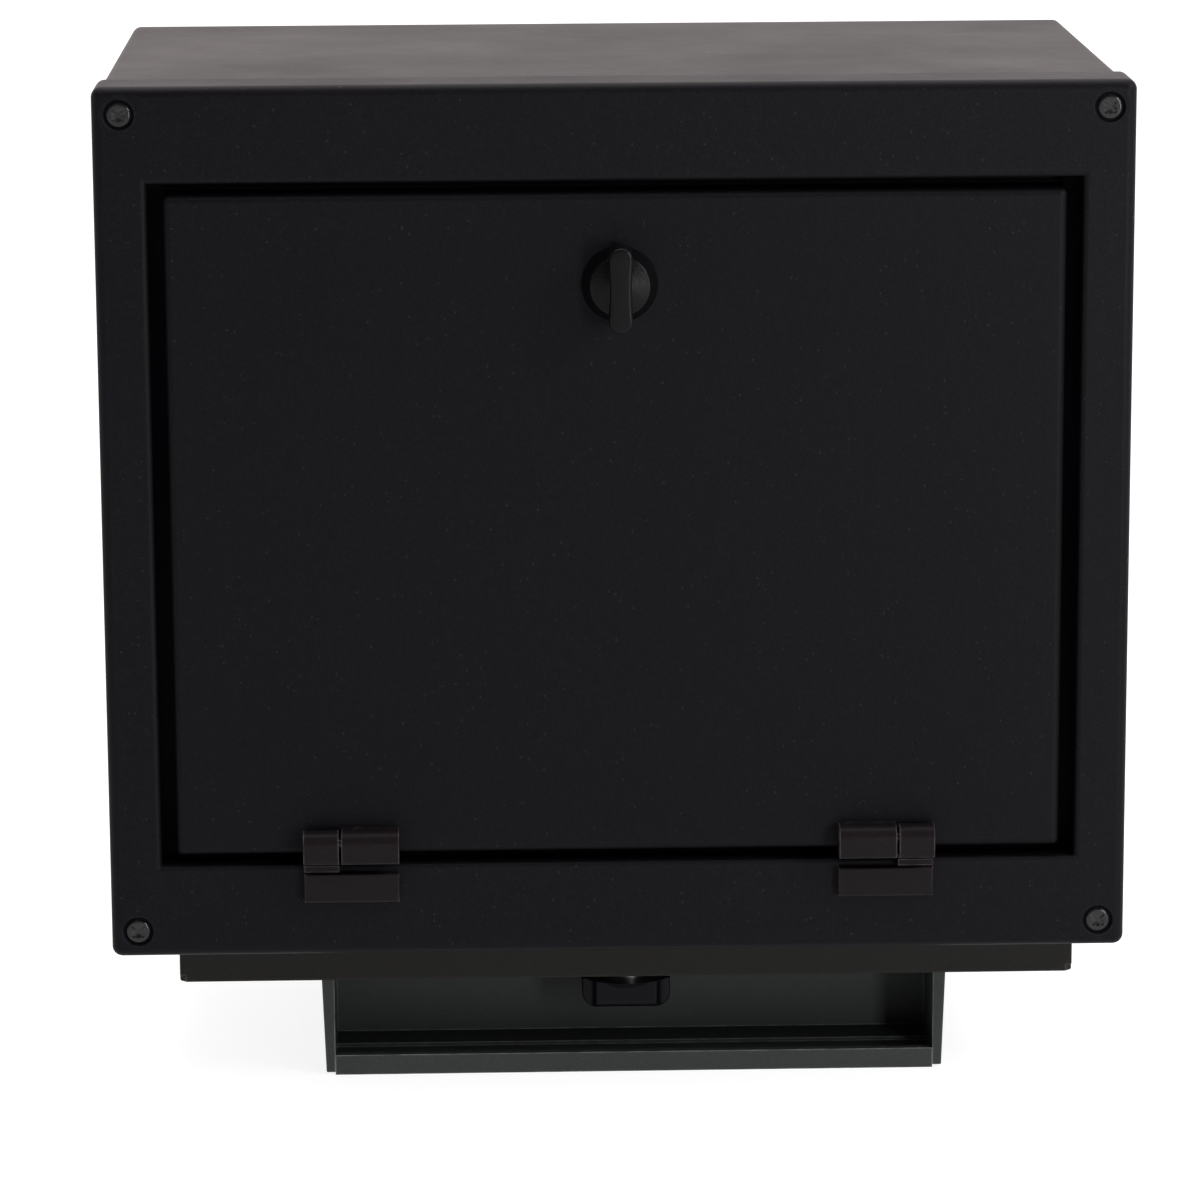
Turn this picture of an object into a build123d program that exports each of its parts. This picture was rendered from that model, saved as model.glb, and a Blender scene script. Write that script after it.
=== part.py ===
from build123d import *
import os

# Parcel drop box: a folded steel box with a drop-down door, on a pan that clamps to a mounting base.
# Millimetres, +Z up, the door faces -Y. Every piece is drawn in the box frame, whose origin is the
# middle of the front cover's lower edge, on its front face. export() then moves it into the part's
# frame, whose origin is the centre of the bolt pattern on the underside of the base.

# Driving sizes of the box
cover_width = 400.0
cover_height = 343.6
box_depth = 245.2
sheet = 1.5
cover_return = 28.0
cover_corner_radius = 4.0
cover_face_radius = 3.9
cover_fit = 0.15
least_bend = 0.4
touch = 0.01

# The opening in the front cover, and the door in it
side_border = 20.2
top_border = 37.2
bottom_border = 36.8
jamb_depth = 10.0
jamb_radius = 2.0
door_side_gap = 6.3
door_top_gap = 4.7
door_bottom_gap = 4.6
door_depth = 18.0
door_corner_radius = 2.0
door_face_radius = 2.8

# Corner screws in pressed dimples
corner_inset = 10.5
dimple_radius = 6.15
dimple_floor_radius = 5.0
dimple_depth = 1.8
corner_thread_radius = 2.5
corner_head_radius = 4.75
corner_head_height = 1.5
corner_screw_length = 12.0
corner_nut_flats = 8.0
corner_nut_height = 4.0
thread_fit = 0.05
hole_fit = 0.3
press_fit = 0.02

# Shares that every screw and nut has in common
head_dome_share = 0.62
recess_width_share = 1.35
recess_slot_share = 0.27
recess_depth_share = 0.7
recess_cone_share = 0.42
screw_tip_share = 0.3
nut_dome_share = 0.565
nut_chamfer_share = 0.05

# Body shell and rear panel
body_bend_radius = 4.0
body_face_radius = 3.0
body_flange = 16.0
rear_reveal = 2.0
rear_corner_radius = 3.0
rear_edge = 0.3
rear_thread_radius = 2.0
rear_head_radius = 3.8
rear_head_height = 1.9
rear_screw_length = 10.0
rear_nut_flats = 7.0
rear_nut_height = 3.2

# Door stop frame, seal and keeper
door_seal_gap = 1.2
seal_thickness = 4.0
seal_width = 10.0
seal_overhang = 1.0
seal_ledge = 2.0
seal_corner_radius = 3.0
aperture_corner_radius = 4.0
stop_flange = 12.0
stop_fit = 0.2
keeper_width = 56.0
keeper_height = 18.0
keeper_margin = 1.0
keeper_corner_radius = 3.0
keeper_edge = 0.5

# Quarter-turn latch
latch_drop = 35.2
latch_offset = 1.3
latch_shaft_radius = 4.0
running_fit = 0.05
bushing_radius = 8.0
bushing_flange_radius = 9.5
bushing_flange = 2.0
bushing_length = 12.0
bushing_nut_flats = 22.0
bushing_nut_height = 5.0
bushing_fit = 0.1
knob_base_radius = 14.7
knob_top_radius = 11.75
knob_height = 9.0
knob_edge = 0.6
knob_gap = 0.4
knob_hollow_fit = 0.7
grip_length = 33.2
grip_width = 9.3
grip_waist = 8.2
grip_height = 10.4
grip_root = 4.0
grip_edge = 1.4
cam_length = 40.0
cam_width = 16.0
cam_thickness = 3.0
cam_gap = 0.6
cam_square = 6.0
cam_tip_radius = 5.0
cam_thread_radius = 2.5
cam_thread_length = 5.5
cam_nut_flats = 8.0
cam_nut_height = 4.0

# Hinges
hinge_spacing = 210.0
hinge_width = 37.4
fixed_knuckle = 13.8
knuckle_gap = 1.1
knuckle_radius = 5.2
knuckle_clearance = 0.8
knuckle_edge = 0.8
knuckle_top_step = 0.5
hinge_axis_rise = 5.8
knuckle_skirt = 7.5
leaf_height = 11.5
leaf_thickness = 5.0
leaf_edge = 0.7
leaf_drop = 2.5
strip_thickness = 3.6
strip_gap = 0.6
strip_height = 2.5
strip_neck = 2.0
hinge_pin_radius = 1.6
hinge_pin_inset = 0.4
hinge_pin_chamfer = 0.3
hinge_screw_radius = 1.25
hinge_head_radius = 2.4
hinge_head_height = 1.6
hinge_screw_spacing = 18.0
hinge_screw_skin = 1.0
door_screw_edge = 4.0
door_screw_spacing = 13.0
door_screw_web = 0.3

# Pan under the box
pan_inset = 20.75
pan_offset = 4.0
pan_front = 30.0
pan_depth = 190.0
pan_height = 20.8
pan_bend_radius = 1.0
pan_relief_radius = 2.5
pan_relief_height = 3.0
standoff_inset = 30.0
standoff_radius = 6.0
standoff_thread_radius = 2.5
standoff_thread_depth = 14.0
pan_head_radius = 4.6
pan_head_height = 2.0
pan_screw_length = 12.0

# Mounting base
base_offset = 7.0
base_front = 34.0
base_depth = 170.0
base_length = 241.2
base_height = 40.7
base_floor = 5.0
base_lip_height = 8.2
base_lip = 3.0
base_foot_front = 21.5
base_foot = 1.6
base_web_front = 38.5
base_web = 3.0
base_flange_front = 7.5
base_flange = 2.4
end_plate_top = 5.05
end_plate_bottom = 3.65
end_plate_lift = 1.0
end_plate_edge = 0.6
end_screw_radius = 2.0
end_head_radius = 3.4
end_head_height = 1.3
end_screw_length = 14.0
end_seat_radius = 3.6
end_seat_web = 2.0
boss_radius = 4.0
boss_sink = 1.0
bolt_spacing_x = 180.0
bolt_spacing_y = 90.0
bolt_hole_radius = 3.3
bolt_edge = 22.0

# Clamp screw
clamp_setback = 17.2
clamp_thread_radius = 4.0
clamp_stud_overrun = 2.0
clamp_stud_chamfer = 0.8
clamp_washer_radius = 10.0
clamp_washer = 0.8
clamp_reach = 17.7
clamp_scallop_radius = 5.4
clamp_scallop_edge = 1.2
clamp_bottom_edge = 5.0
clamp_knob_height = 11.4
clamp_collar_radius = 20.4
clamp_collar_height = 4.0
clamp_nut_flats = 13.0
clamp_nut_height = 8.0

# Worked out from the sizes above
opening_half = cover_width / 2 - side_border
opening_bottom = bottom_border
opening_top = cover_height - top_border
door_half = opening_half - door_side_gap
door_bottom = opening_bottom + door_bottom_gap
door_top = opening_top - door_top_gap
body_half = cover_width / 2 - sheet - cover_fit
body_bottom = sheet + cover_fit
body_top = cover_height - sheet - cover_fit
body_front = dimple_depth + sheet + cover_fit
body_back = box_depth - sheet
screw_half = cover_width / 2 - corner_inset
screw_heights = (corner_inset, cover_height - corner_inset)
corner_places = [(side * screw_half, height) for side in (-1, 1) for height in screw_heights]
seal_front = door_depth + door_seal_gap
stop_front = seal_front + seal_thickness
stop_back = stop_front + sheet
seal_half = door_half + seal_overhang
aperture_half = seal_half - seal_width - seal_ledge
aperture_bottom = door_bottom - seal_overhang + seal_width + seal_ledge
aperture_top = door_top + seal_overhang - seal_width - seal_ledge
latch_height = door_top - latch_drop
keeper_back = stop_back + sheet
cam_front = keeper_back + cam_gap
cam_back = cam_front + cam_thickness
axis_y = -knuckle_radius - knuckle_clearance
axis_z = door_bottom + hinge_axis_rise
leaf_top = opening_bottom - leaf_drop
door_screw_z = axis_z + hinge_pin_radius + running_fit + hinge_screw_radius + door_screw_web
pan_bottom = body_bottom - cover_fit - pan_height
pan_x = pan_offset
pan_half = cover_width / 2 - pan_inset
base_bottom = pan_bottom - base_height
base_x = base_offset
base_back = base_front + base_depth
foot_y = base_front + base_foot_front
web_y = base_front + base_web_front
clamp_y = base_front + clamp_setback
flange_under = pan_bottom - base_flange
bolt_centre_y = base_back - bolt_edge - bolt_spacing_y / 2


def export(node, pieces):
    """Write one node, moved into the part's frame."""
    solids = pieces if isinstance(pieces, list) else [pieces]
    moved = [Pos(-base_x, -bolt_centre_y, -base_bottom) * piece for piece in solids]
    shape = moved[0] if len(moved) == 1 else Compound(children=moved)
    export_step(shape, f"parts/{node}.step")


def block(x_low, x_high, y_low, y_high, z_low, z_high):
    """A box between two corners."""
    size = (x_high - x_low, y_high - y_low, z_high - z_low)
    return Pos(x_low, y_low, z_low) * Box(*size, align=(Align.MIN, Align.MIN, Align.MIN))


def rod_x(x_low, x_high, y, z, radius):
    """A round bar along X."""
    bar = Cylinder(radius, x_high - x_low, align=(Align.CENTER, Align.CENTER, Align.MIN))
    return Pos(x_low, y, z) * Rot(0, 90, 0) * bar


def rod_y(x, z, y_low, y_high, radius):
    """A round bar along Y."""
    bar = Cylinder(radius, y_high - y_low, align=(Align.CENTER, Align.CENTER, Align.MIN))
    return Pos(x, y_low, z) * Rot(-90, 0, 0) * bar


def rod_z(x, y, z_low, z_high, radius):
    """A round bar along Z."""
    bar = Cylinder(radius, z_high - z_low, align=(Align.CENTER, Align.CENTER, Align.MIN))
    return Pos(x, y, z_low) * bar


def hexagon(flats, height, bore):
    """A nut blank that stands on Z = 0, with its corners taken off at both ends."""
    body = extrude(RegularPolygon(flats / 2, 6, major_radius=False), amount=height)
    dome = Cylinder(flats * nut_dome_share, height, align=(Align.CENTER, Align.CENTER, Align.MIN))
    dome = chamfer(dome.edges().filter_by(GeomType.CIRCLE), flats * nut_chamfer_share)
    hole = Cylinder(bore, height, align=(Align.CENTER, Align.CENTER, Align.MIN))
    return (body & dome) - hole


def folded_tray(half_width, z_low, z_high, depth, corner_radius, face_radius, wall):
    """A folded sheet tray with its face on Y = 0 and its four walls running back."""
    outer = block(-half_width, half_width, 0, depth, z_low, z_high)
    outer = fillet(outer.edges().filter_by(Axis.Y), corner_radius)
    outer = fillet(outer.faces().sort_by(Axis.Y)[0].edges(), face_radius)
    inner = block(-half_width + wall, half_width - wall, wall, depth, z_low + wall, z_high - wall)
    inner = fillet(inner.edges().filter_by(Axis.Y), max(corner_radius - wall, least_bend))
    inner = fillet(inner.faces().sort_by(Axis.Y)[0].edges(), max(face_radius - wall, least_bend))
    return outer - inner


def cross_recess(width, slot, depth):
    """The cutter for a cross recess that opens towards -Y from Y = 0."""
    level = block(-width / 2, width / 2, 0, depth, -slot / 2, slot / 2)
    upright = block(-slot / 2, slot / 2, 0, depth, -width / 2, width / 2)
    middle = Rot(-90, 0, 0) * Cone(width * recess_cone_share, slot / 2, depth,
                                   align=(Align.CENTER, Align.CENTER, Align.MIN))
    return level + upright + middle


def pan_head_screw(head_radius, head_height, shank_radius, length):
    """A cross-recess screw along +Y, with its head's underside on Y = 0."""
    head = Rot(-90, 0, 0) * Cylinder(head_radius, head_height,
                                     align=(Align.CENTER, Align.CENTER, Align.MIN))
    head = fillet(head.edges().sort_by(Axis.Y)[0], head_height * head_dome_share)
    recess = cross_recess(head_radius * recess_width_share, head_radius * recess_slot_share,
                          head_height * recess_depth_share)
    shank = rod_y(0, 0, 0, length, shank_radius)
    shank = chamfer(shank.edges().sort_by(Axis.Y)[-1], shank_radius * screw_tip_share)
    return Pos(0, -head_height, 0) * (head - recess) + shank


def cover_dimple(wall):
    """The pressed dimple at one corner screw: its metal, and the hollow in front of it."""
    reach = dimple_depth + wall
    hollow = Rot(-90, 0, 0) * Cone(dimple_radius, dimple_floor_radius, dimple_depth,
                                   align=(Align.CENTER, Align.CENTER, Align.MIN))
    metal = Rot(-90, 0, 0) * Cone(dimple_radius + wall, dimple_floor_radius + wall, reach,
                                  align=(Align.CENTER, Align.CENTER, Align.MIN))
    return metal, hollow + rod_y(0, 0, 0, reach, corner_thread_radius + hole_fit)


def front_cover():
    """The slip-over front frame, with a folded jamb round its opening and four dimples."""
    tray = folded_tray(cover_width / 2, 0, cover_height, cover_return,
                       cover_corner_radius, cover_face_radius, sheet)
    jamb = block(-opening_half - sheet, opening_half + sheet, 0, jamb_depth,
                 opening_bottom - sheet, opening_top + sheet)
    opening = block(-opening_half, opening_half, 0, jamb_depth, opening_bottom, opening_top)
    shape = (tray + jamb) - opening
    rim = [edge for edge in shape.edges() if on_opening_rim(edge)]
    shape = fillet(rim, jamb_radius)
    metal, hollow = cover_dimple(sheet)
    for x, z in corner_places:
        shape = shape + Pos(x, 0, z) * metal - Pos(x, 0, z) * hollow
    for x in hinge_screw_places():
        shape = shape - rod_y(x, leaf_middle(), 0, sheet, hinge_screw_radius + hole_fit)
    return shape


def on_opening_rim(edge):
    """True for the four edges where the cover's face turns in to the opening."""
    box = edge.bounding_box()
    flat = box.max.Y < touch
    inside = box.min.X > -opening_half - touch and box.max.X < opening_half + touch
    level = box.min.Z > opening_bottom - touch and box.max.Z < opening_top + touch
    return flat and inside and level


def body_block(inset, y_low, y_high, bend, face_bend):
    """The body's rounded block, shrunk by an inset all round."""
    shape = block(-body_half + inset, body_half - inset, y_low, y_high,
                  body_bottom + inset, body_top - inset)
    shape = fillet(shape.edges().filter_by(Axis.Y), bend)
    ends = shape.faces().sort_by(Axis.Y)[0].edges() + shape.faces().sort_by(Axis.Y)[-1].edges()
    return fillet(ends, face_bend)


def body_shell():
    """Top, bottom and sides in one wrap, with an inward flange at the front and at the back."""
    outer = body_block(0, body_front, body_back, body_bend_radius, body_face_radius)
    inner = body_block(sheet, body_front + sheet, body_back - sheet,
                       body_bend_radius - sheet, body_face_radius - sheet)
    through = block(-body_half + body_flange, body_half - body_flange, body_front, body_back,
                    body_bottom + body_flange, body_top - body_flange)
    through = fillet(through.edges().filter_by(Axis.Y), body_bend_radius)
    shape = outer - inner - through
    for x, z in corner_places:
        shape = shape - rod_y(x, z, body_front, body_front + sheet, corner_thread_radius + hole_fit)
    for x, z in rear_screw_places():
        shape = shape - rod_y(x, z, body_back - sheet, body_back, rear_thread_radius + hole_fit)
    for x, y in standoff_places():
        shape = shape - rod_z(x, y, body_bottom, body_bottom + sheet, standoff_thread_radius + hole_fit)
    return shape


def corner_screws():
    """Four cross-recess screws, with their heads down in the dimples."""
    screw = pan_head_screw(corner_head_radius, corner_head_height, corner_thread_radius,
                           corner_screw_length)
    return [Pos(x, dimple_depth, z) * Rot(0, 45, 0) * screw for x, z in corner_places]


def corner_nuts():
    """Weld nuts behind the body's front flange."""
    nut = hexagon(corner_nut_flats, corner_nut_height, corner_thread_radius + thread_fit)
    return [Pos(x, body_front + sheet, z) * Rot(-90, 0, 0) * nut for x, z in corner_places]


def rear_screw_places():
    """Three screws up each side of the rear panel."""
    x = body_half - body_flange / 2
    low, high = body_bottom + body_flange / 2, body_top - body_flange / 2
    return [(side * x, height) for side in (-1, 1) for height in (low, (low + high) / 2, high)]


def rear_panel():
    """The flat plate that closes the back."""
    shape = block(-body_half + rear_reveal, body_half - rear_reveal, body_back, box_depth,
                  body_bottom + rear_reveal, body_top - rear_reveal)
    shape = fillet(shape.edges().filter_by(Axis.Y), rear_corner_radius)
    shape = chamfer(shape.faces().sort_by(Axis.Y)[-1].edges(), rear_edge)
    for x, z in rear_screw_places():
        shape = shape - rod_y(x, z, body_back, box_depth, rear_thread_radius + hole_fit)
    return shape


def rear_panel_screws():
    """Pan-head screws, driven from behind."""
    screw = pan_head_screw(rear_head_radius, rear_head_height, rear_thread_radius, rear_screw_length)
    return [Pos(x, box_depth, z) * Rot(0, 0, 180) * screw for x, z in rear_screw_places()]


def rear_panel_nuts():
    """Weld nuts in front of the body's rear flange."""
    nut = hexagon(rear_nut_flats, rear_nut_height, rear_thread_radius + thread_fit)
    return [Pos(x, body_back - sheet - rear_nut_height, z) * Rot(-90, 0, 0) * nut
            for x, z in rear_screw_places()]


def door_stop_frame():
    """The inner frame behind the door, welded in the body, with the parcel aperture."""
    half = body_half - sheet - stop_fit
    tray = folded_tray(half, body_bottom + sheet + stop_fit, body_top - sheet - stop_fit,
                       stop_flange, body_bend_radius, body_face_radius, sheet)
    hole = block(-aperture_half, aperture_half, 0, sheet, aperture_bottom, aperture_top)
    hole = fillet(hole.edges().filter_by(Axis.Y), aperture_corner_radius)
    return Pos(0, stop_front, 0) * (tray - hole)


def door_seal():
    """A rubber ring that the door's folded edge faces all round."""
    outer = block(-seal_half, seal_half, seal_front, stop_front,
                  door_bottom - seal_overhang, door_top + seal_overhang)
    inner = block(-seal_half + seal_width, seal_half - seal_width, seal_front, stop_front,
                  door_bottom - seal_overhang + seal_width, door_top + seal_overhang - seal_width)
    outer = fillet(outer.edges().filter_by(Axis.Y), seal_corner_radius)
    inner = fillet(inner.edges().filter_by(Axis.Y), seal_corner_radius)
    return outer - inner


def latch_keeper():
    """The wear plate that the cam turns up behind."""
    low = aperture_top + keeper_margin
    shape = block(latch_offset - keeper_width / 2, latch_offset + keeper_width / 2,
                  stop_back, keeper_back, low, low + keeper_height)
    shape = fillet(shape.edges().filter_by(Axis.Y), keeper_corner_radius)
    return chamfer(shape.faces().sort_by(Axis.Y)[-1].edges(), keeper_edge)


def door_panel():
    """The folded door tray, with holes for the latch and the hinge screws."""
    shape = folded_tray(door_half, door_bottom, door_top, door_depth,
                        door_corner_radius, door_face_radius, sheet)
    shape = shape - rod_y(latch_offset, latch_height, 0, sheet, bushing_radius + bushing_fit)
    for x in door_screw_places():
        shape = shape - rod_y(x, door_screw_z, 0, sheet, hinge_screw_radius + hole_fit)
    return shape


def leaf_middle():
    """Height of the screws through the fixed leaf."""
    return leaf_top - leaf_height / 2


def hinge_screw_places():
    """Where the fixed leaves' screws stand along X."""
    return [side * hinge_spacing / 2 + step * hinge_screw_spacing / 2
            for side in (-1, 1) for step in (-1, 1)]


def door_screw_places():
    """Where the moving knuckles' screws stand along X."""
    inner = hinge_width / 2 - door_screw_edge
    outer = inner - door_screw_spacing
    return [side * (hinge_spacing / 2 - step) for side in (-1, 1) for step in (outer, inner)]


def knuckle(x_low, x_high, back):
    """A knuckle with a round top and a flat front that runs down past the pin."""
    barrel = rod_x(x_low, x_high, axis_y, axis_z, knuckle_radius)
    skirt = block(x_low, x_high, axis_y - knuckle_radius, back, axis_z - knuckle_skirt, axis_z)
    lower_front = skirt.edges().filter_by(Axis.X).group_by(Axis.Y)[0].sort_by(Axis.Z)[0]
    skirt = fillet(lower_front, knuckle_edge)
    return barrel + skirt


def knuckle_span(side):
    """The X spans of the fixed and the moving knuckle of one hinge."""
    outboard = side * (hinge_spacing / 2 + hinge_width / 2)
    split = outboard - side * fixed_knuckle
    start = split - side * knuckle_gap
    inboard = outboard - side * hinge_width
    return sorted((outboard, split)), sorted((start, inboard))


def hinge_frame_leaf(side):
    """The fixed half: a leaf on the cover, a strip up from it, and the outboard knuckle."""
    fixed, moving = knuckle_span(side)
    low, high = min(fixed + moving), max(fixed + moving)
    leaf = block(low, high, -leaf_thickness, 0, leaf_top - leaf_height, leaf_top)
    leaf = fillet(leaf.faces().sort_by(Axis.Y)[0].edges(), leaf_edge)
    strip = block(fixed[0], fixed[1], -strip_thickness, -knuckle_clearance,
                  leaf_top + strip_gap, leaf_top + strip_gap + strip_height)
    neck = block(fixed[0], fixed[1], -strip_neck, -knuckle_clearance, leaf_middle(), axis_z)
    shape = leaf + strip + neck + knuckle(fixed[0], fixed[1], -knuckle_clearance)
    shape = shape - rod_x(fixed[0], fixed[1], axis_y, axis_z, hinge_pin_radius + press_fit)
    for x in hinge_screw_places():
        if low < x < high:
            shape = shape - rod_y(x, leaf_middle(), -leaf_thickness + hinge_screw_skin, 0,
                                  hinge_screw_radius + thread_fit)
    return shape


def hinge_door_leaf(side):
    """The moving half: one long knuckle on the door's face."""
    low, high = knuckle_span(side)[1]
    top = axis_z + knuckle_radius - knuckle_top_step
    shape = knuckle(low, high, 0.0) + block(low, high, axis_y, 0, door_bottom, top)
    shape = shape - rod_x(low, high, axis_y, axis_z, hinge_pin_radius + running_fit)
    for x in door_screw_places():
        if low < x < high:
            shape = shape - rod_y(x, door_screw_z, axis_y, 0, hinge_screw_radius + thread_fit)
    return shape


def hinge_pin(side):
    """The pin through both knuckles of one hinge."""
    fixed, moving = knuckle_span(side)
    low, high = min(fixed + moving) + hinge_pin_inset, max(fixed + moving) - hinge_pin_inset
    pin = rod_x(low, high, axis_y, axis_z, hinge_pin_radius)
    return chamfer(pin.edges().filter_by(GeomType.CIRCLE), hinge_pin_chamfer)


def hinge_frame_screws():
    """Screws from behind the cover into the fixed leaves."""
    length = sheet + leaf_thickness - hinge_screw_skin - hole_fit
    screw = pan_head_screw(hinge_head_radius, hinge_head_height, hinge_screw_radius, length)
    return [Pos(x, sheet, leaf_middle()) * Rot(0, 0, 180) * screw for x in hinge_screw_places()]


def hinge_door_screws():
    """Screws from inside the door into the moving knuckles, above the pin."""
    length = sheet - axis_y - hinge_screw_skin
    screw = pan_head_screw(hinge_head_radius, hinge_head_height, hinge_screw_radius, length)
    return [Pos(x, sheet, door_screw_z) * Rot(0, 0, 180) * screw for x in door_screw_places()]


def latch_bushing():
    """The threaded bushing in the door that the spindle turns in."""
    shape = rod_y(latch_offset, latch_height, -bushing_flange, 0, bushing_flange_radius)
    shape = shape + rod_y(latch_offset, latch_height, 0, bushing_length, bushing_radius)
    return shape - rod_y(latch_offset, latch_height, -bushing_flange, bushing_length,
                         latch_shaft_radius + running_fit)


def latch_bushing_nut():
    """The hexagon nut that holds the bushing from inside."""
    nut = hexagon(bushing_nut_flats, bushing_nut_height, bushing_radius + thread_fit)
    return Pos(latch_offset, sheet, latch_height) * Rot(-90, 0, 0) * nut


def grip_outline():
    """The wing grip seen from the front: two round ends, and hollow sides tangent to them."""
    end, waist, reach = grip_width / 2, grip_waist / 2, grip_length / 2
    centre = reach - end
    hollow = (centre ** 2 + waist ** 2 - end ** 2) / (2 * (end - waist))
    x = end * (waist + hollow) / (end + hollow)
    z = centre - end * centre / (end + hollow)
    right = ThreePointArc((x, z), (waist, 0), (x, -z))
    low = ThreePointArc((x, -z), (0, -reach), (-x, -z))
    left = ThreePointArc((-x, -z), (-waist, 0), (-x, z))
    high = ThreePointArc((-x, z), (0, reach), (x, z))
    return make_face([right, low, left, high])


def latch_knob():
    """The knob: a tapered round skirt with a wing grip across it."""
    skirt = Cone(knob_base_radius, knob_top_radius, knob_height,
                 align=(Align.CENTER, Align.CENTER, Align.MIN))
    skirt = fillet(skirt.edges().filter_by(GeomType.CIRCLE).sort_by(Axis.Z)[-1], knob_edge)
    grip = extrude(grip_outline(), amount=grip_root + grip_height)
    grip = Pos(0, 0, knob_height - grip_root) * fillet(grip.faces().sort_by(Axis.Z)[-1].edges(), grip_edge)
    hollow = Cylinder(bushing_flange_radius + knob_hollow_fit, bushing_flange + knob_hollow_fit,
                      align=(Align.CENTER, Align.CENTER, Align.MIN))
    bore = Cylinder(latch_shaft_radius + press_fit, knob_height + grip_root,
                    align=(Align.CENTER, Align.CENTER, Align.MIN))
    knob = skirt + grip - hollow - bore
    return Pos(latch_offset, -knob_gap, latch_height) * Rot(90, 0, 0) * knob


def latch_spindle():
    """The spindle: round in the knob and bushing, square in the cam, threaded past it."""
    tip = -knob_gap - knob_height - grip_root + hole_fit
    half = cam_square / 2
    shape = rod_y(latch_offset, latch_height, tip, cam_front, latch_shaft_radius)
    shape = shape + block(latch_offset - half, latch_offset + half, cam_front, cam_back,
                          latch_height - half, latch_height + half)
    return shape + rod_y(latch_offset, latch_height, cam_back, cam_back + cam_thread_length,
                         cam_thread_radius)


def latch_cam():
    """The tongue on the spindle, lying across the aperture."""
    half = cam_width / 2
    tongue = block(latch_offset - cam_length, latch_offset, cam_front, cam_back,
                   latch_height - half, latch_height + half)
    tongue = tongue + rod_y(latch_offset, latch_height, cam_front, cam_back, half)
    tongue = fillet(tongue.edges().filter_by(Axis.Y).sort_by(Axis.X)[0:2], cam_tip_radius)
    hole = cam_square / 2 + running_fit
    return tongue - block(latch_offset - hole, latch_offset + hole, cam_front, cam_back,
                          latch_height - hole, latch_height + hole)


def cam_nut():
    """The nut that keeps the cam on the spindle."""
    nut = hexagon(cam_nut_flats, cam_nut_height, cam_thread_radius + thread_fit)
    return Pos(latch_offset, cam_back, latch_height) * Rot(-90, 0, 0) * nut


def base_pan():
    """The shallow folded tray under the box, its flat side down."""
    tray = folded_tray(pan_half, 0, pan_depth, pan_height, pan_bend_radius, pan_bend_radius, sheet)
    tray = Pos(pan_x, pan_front + pan_depth, pan_bottom) * Rot(90, 0, 0) * tray
    for x in (pan_x - pan_half, pan_x + pan_half):
        for y in (pan_front, pan_front + pan_depth):
            tray = tray - rod_z(x, y, pan_bottom, pan_bottom + pan_relief_height, pan_relief_radius)
    tray = tray - rod_z(pan_x, clamp_y, pan_bottom, pan_bottom + sheet, clamp_thread_radius + hole_fit)
    return tray


def standoff_places():
    """The four posts between the pan and the body."""
    reach = pan_half - standoff_inset
    rows = (pan_front + standoff_inset, pan_front + pan_depth - standoff_inset)
    return [(pan_x + side * reach, y) for side in (-1, 1) for y in rows]


def pan_standoffs():
    """Threaded posts welded in the pan, which the box's floor sits on."""
    low, high = pan_bottom + sheet, body_bottom
    return [rod_z(x, y, low, high, standoff_radius)
            - rod_z(x, y, high - standoff_thread_depth, high, standoff_thread_radius + thread_fit)
            for x, y in standoff_places()]


def pan_screws():
    """Low screws from inside the box, down into the posts."""
    screw = pan_head_screw(pan_head_radius, pan_head_height, standoff_thread_radius, pan_screw_length)
    return [Pos(x, y, body_bottom + sheet) * Rot(-90, 0, 0) * screw for x, y in standoff_places()]


def clamp_nut():
    """The weld nut in the pan that the clamp screw draws up into."""
    nut = hexagon(clamp_nut_flats, clamp_nut_height, clamp_thread_radius + thread_fit)
    return Pos(pan_x, clamp_y, pan_bottom + sheet) * nut


def boss_places():
    """Screw bosses in the profile's corners, as Y and Z."""
    near = web_y + base_web + boss_radius - boss_sink
    far = base_back - boss_radius
    low = base_bottom + base_floor + boss_radius - boss_sink
    high = flange_under - boss_radius + boss_sink
    return [(near, low), (near, high), (far, low), (far, high)]


def base_profile():
    """The extruded base: floor, front and rear lips, foot, web and top flange."""
    low, high = base_x - base_length / 2, base_x + base_length / 2
    top = base_bottom + base_height
    floor_top = base_bottom + base_floor
    shape = block(low, high, base_front, base_back, base_bottom, floor_top)
    for y in (base_front, base_back - base_lip):
        shape = shape + block(low, high, y, y + base_lip, base_bottom, base_bottom + base_lip_height)
    shape = shape + block(low, high, foot_y, web_y, floor_top, floor_top + base_foot)
    shape = shape + block(low, high, web_y, web_y + base_web, floor_top, top)
    shape = shape + block(low, high, base_front + base_flange_front, base_back, flange_under, top)
    for y, z in boss_places():
        shape = shape + rod_x(low, high, y, z, boss_radius)
    for y, z in boss_places():
        shape = shape - rod_x(low, high, y, z, end_screw_radius + thread_fit)
    for x in (-1, 1):
        for y in (-1, 1):
            place = (base_x + x * bolt_spacing_x / 2, bolt_centre_y + y * bolt_spacing_y / 2)
            shape = shape - rod_z(*place, base_bottom, floor_top, bolt_hole_radius)
    return shape - rod_z(pan_x, clamp_y, flange_under, top, clamp_thread_radius + hole_fit)


def base_end(side):
    """One end plate, thicker at the top, with countersunk screw holes."""
    inner = base_x + side * base_length / 2
    low, high = base_bottom + end_plate_lift, base_bottom + base_height
    outline = make_face(Polyline((inner, low), (inner + side * end_plate_bottom, low),
                                 (inner + side * end_plate_top, high), (inner, high), close=True))
    plate = extrude(Plane.XZ.offset(-base_front) * outline, amount=-base_depth)
    outer_edges = [edge for edge in plate.edges() if abs(edge.center().X - inner) > end_plate_edge]
    plate = fillet(outer_edges, end_plate_edge)
    for y, z in boss_places():
        plate = plate - end_screw_cutter(side, inner, y, z)
    return plate


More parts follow.
